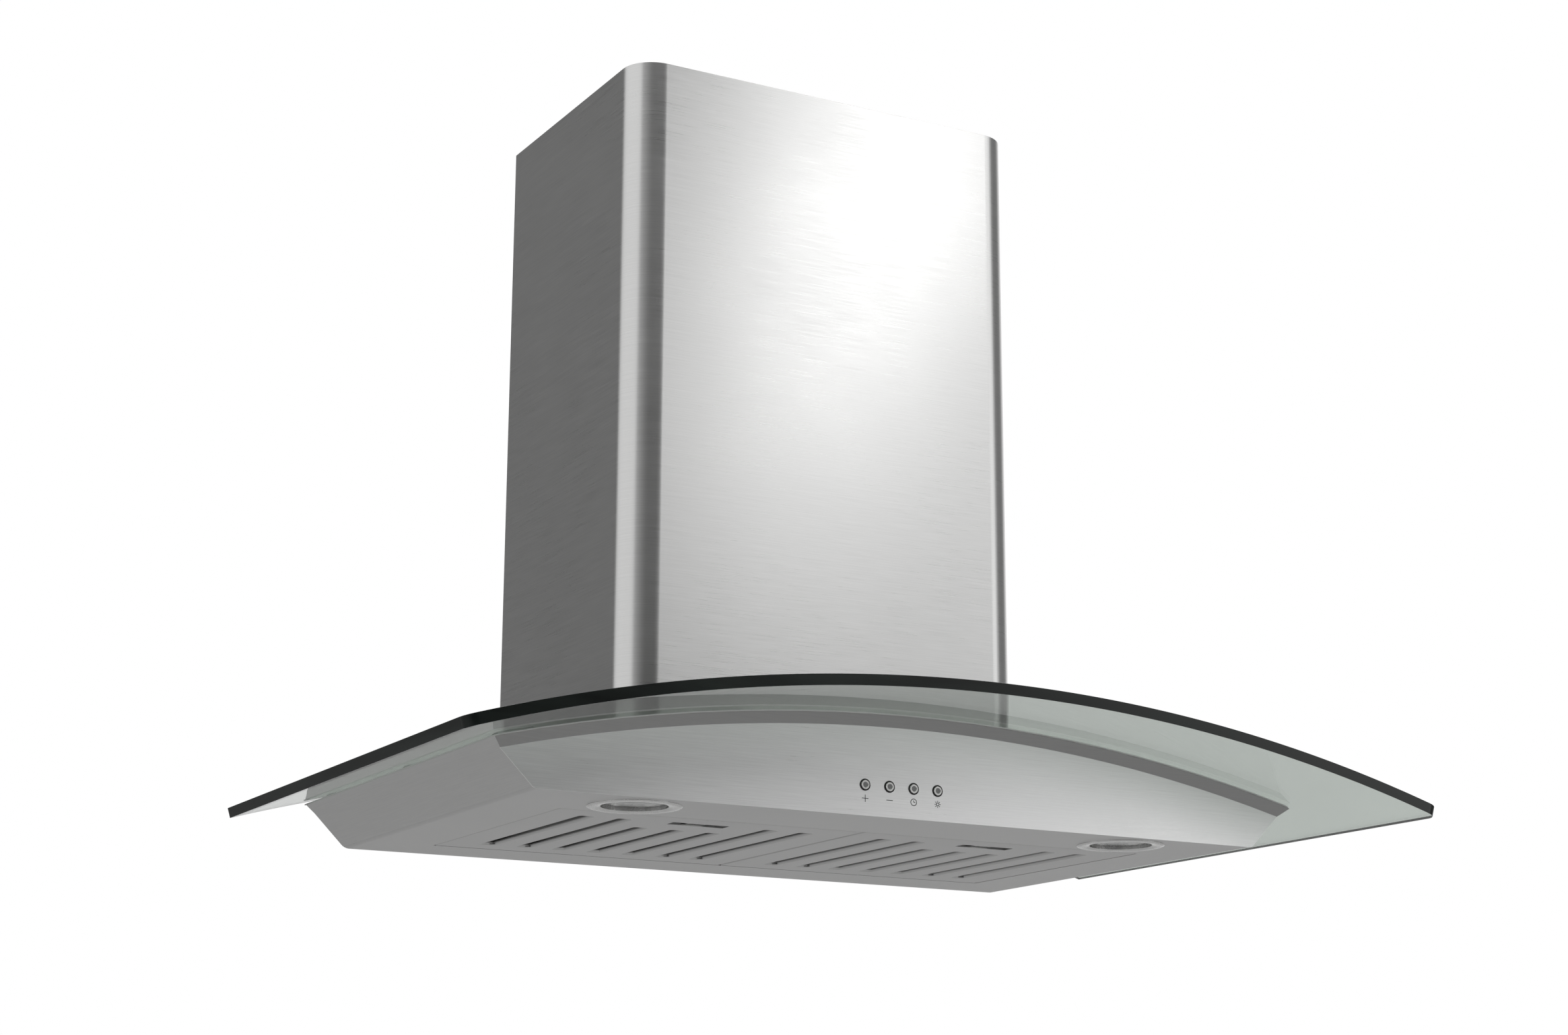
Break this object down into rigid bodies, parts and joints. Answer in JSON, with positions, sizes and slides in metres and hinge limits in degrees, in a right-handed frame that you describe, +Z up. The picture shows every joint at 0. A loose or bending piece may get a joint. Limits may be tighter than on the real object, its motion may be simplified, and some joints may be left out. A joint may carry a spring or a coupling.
{
  "type": "wall range hood",
  "caption": "Wall-mounted range hood with a curved glass canopy, shallow steel body with baffle filters, push buttons and lamps, and a telescoping chimney.",
  "frame": {"origin": "midway between the two wall screw holes, on the wall plane", "axes": "+X to the right seen from the front, +Y into the wall, +Z up"},
  "size_m": [0.9, 0.53, 0.6832],
  "materials": {
    "brushed_stainless": "fine brushed grain",
    "panel_stainless": "fine brushed grain, running across",
    "filter_steel": "satin",
    "galvanised_steel": "galvanised sheet, dull",
    "bright_steel": "zinc plated",
    "canopy_glass": "clear tempered, faint green",
    "clear_rubber": "translucent",
    "lamp_glass": "lightly frosted",
    "lamp_trim_steel": "satin",
    "lamp_can": "satin",
    "reflector_chrome": "mirror reflector",
    "button_steel": "satin",
    "black_ring": "gloss black",
    "printed_ink": "dark grey print",
    "black_plastic": "moulded",
    "circuit_board": "green board",
    "motor_aluminium": "die cast",
    "white_plastic": "moulded",
    "wheel_steel": "galvanised"
  },
  "bodies": {
    "hood": {"back_plate": "galvanised_steel", "box_screws": "bright_steel", "bracket_screws": "bright_steel", "button_bezels": "black_ring", "button_holder": "black_plastic", "button_symbols": "printed_ink", "cable_gland": "black_plastic", "capacitor": "white_plastic", "chimney_bracket": "galvanised_steel", "chimney_cover": "brushed_stainless", "collar_screws": "bright_steel", "control_board": "circuit_board", "control_case": "galvanised_steel", "control_case_lid": "galvanised_steel", "damper_pin": "bright_steel", "duct_collar": "galvanised_steel", "front_panel": "panel_stainless", "glass_bolts": "bright_steel", "glass_canopy": "canopy_glass", "glass_pads": "clear_rubber", "hood_shell": "brushed_stainless", "lamp_left_bulb": "reflector_chrome", "lamp_left_housing": "lamp_can", "lamp_left_lens": "lamp_glass", "lamp_left_trim": "lamp_trim_steel", "lamp_right_bulb": "reflector_chrome", "lamp_right_housing": "lamp_can", "lamp_right_lens": "lamp_glass", "lamp_right_trim": "lamp_trim_steel", "motor": "motor_aluminium", "motor_box": "galvanised_steel", "motor_bracket": "galvanised_steel", "push_switches": "black_plastic", "scroll_housing": "galvanised_steel", "switch_board": "circuit_board", "terminal_case": "galvanised_steel", "terminal_case_lid": "galvanised_steel", "top_plate": "brushed_stainless"},
    "filter_left": {"filter_left_tray": "filter_steel", "filter_left_baffles": "filter_steel", "filter_left_latch_spring": "bright_steel"},
    "filter_right": {"filter_right_tray": "filter_steel", "filter_right_baffles": "filter_steel", "filter_right_latch_spring": "bright_steel"},
    "latch_left": {"filter_left_latch": "filter_steel"},
    "latch_right": {"filter_right_latch": "filter_steel"},
    "speed_up_button": {"button_speed_up": "button_steel"},
    "speed_down_button": {"button_speed_down": "button_steel"},
    "timer_button": {"button_timer": "button_steel"},
    "light_button": {"button_light": "button_steel"},
    "fan_wheel": {"impeller": "wheel_steel", "motor_shaft": "bright_steel"},
    "damper_front": {"damper_flap_front": "galvanised_steel"},
    "damper_rear": {"damper_flap_rear": "galvanised_steel"},
    "upper_chimney": {"chimney_extension": "brushed_stainless"}
  },
  "joints": [
    {"name": "filter_left_tilt", "type": "hinge", "parent": "hood", "child": "filter_left", "pos_m": [-0.141, -0.059, -0.04385], "axis": [1, 0, 0], "range_deg": [0, 60]},
    {"name": "latch_left_slide", "type": "slide", "parent": "filter_left", "child": "latch_left", "axis": [0, 1, 0], "range_m": [0, 0.005], "stiffness_N_per_m": 500, "deforming": ["filter_left_latch_spring"]},
    {"name": "filter_right_tilt", "type": "hinge", "parent": "hood", "child": "filter_right", "pos_m": [0.141, -0.059, -0.04385], "axis": [1, 0, 0], "range_deg": [0, 60]},
    {"name": "latch_right_slide", "type": "slide", "parent": "filter_right", "child": "latch_right", "axis": [0, 1, 0], "range_m": [0, 0.005], "stiffness_N_per_m": 500, "deforming": ["filter_right_latch_spring"]},
    {"name": "speed_up_press", "type": "slide", "parent": "hood", "child": "speed_up_button", "axis": [0, 1, 0], "range_m": [0, 0.0015], "stiffness_N_per_m": 800},
    {"name": "speed_down_press", "type": "slide", "parent": "hood", "child": "speed_down_button", "axis": [0, 1, 0], "range_m": [0, 0.0015], "stiffness_N_per_m": 800},
    {"name": "timer_press", "type": "slide", "parent": "hood", "child": "timer_button", "axis": [0, 1, 0], "range_m": [0, 0.0015], "stiffness_N_per_m": 800},
    {"name": "light_press", "type": "slide", "parent": "hood", "child": "light_button", "axis": [0, 1, 0], "range_m": [0, 0.0015], "stiffness_N_per_m": 800},
    {"name": "fan_spin", "type": "hinge", "parent": "hood", "child": "fan_wheel", "pos_m": [0, -0.158, 0.18], "axis": [1, 0, 0], "continuous": true},
    {"name": "damper_front_swing", "type": "hinge", "parent": "hood", "child": "damper_front", "pos_m": [0, -0.11, 0.3805], "axis": [-1, 0, 0], "range_deg": [0, 80]},
    {"name": "damper_rear_swing", "type": "hinge", "parent": "hood", "child": "damper_rear", "pos_m": [0, -0.11, 0.3805], "axis": [1, 0, 0], "range_deg": [0, 80]},
    {"name": "chimney_extend", "type": "slide", "parent": "hood", "child": "upper_chimney", "axis": [0, 0, 1], "range_m": [0, 0.3]}
  ]
}
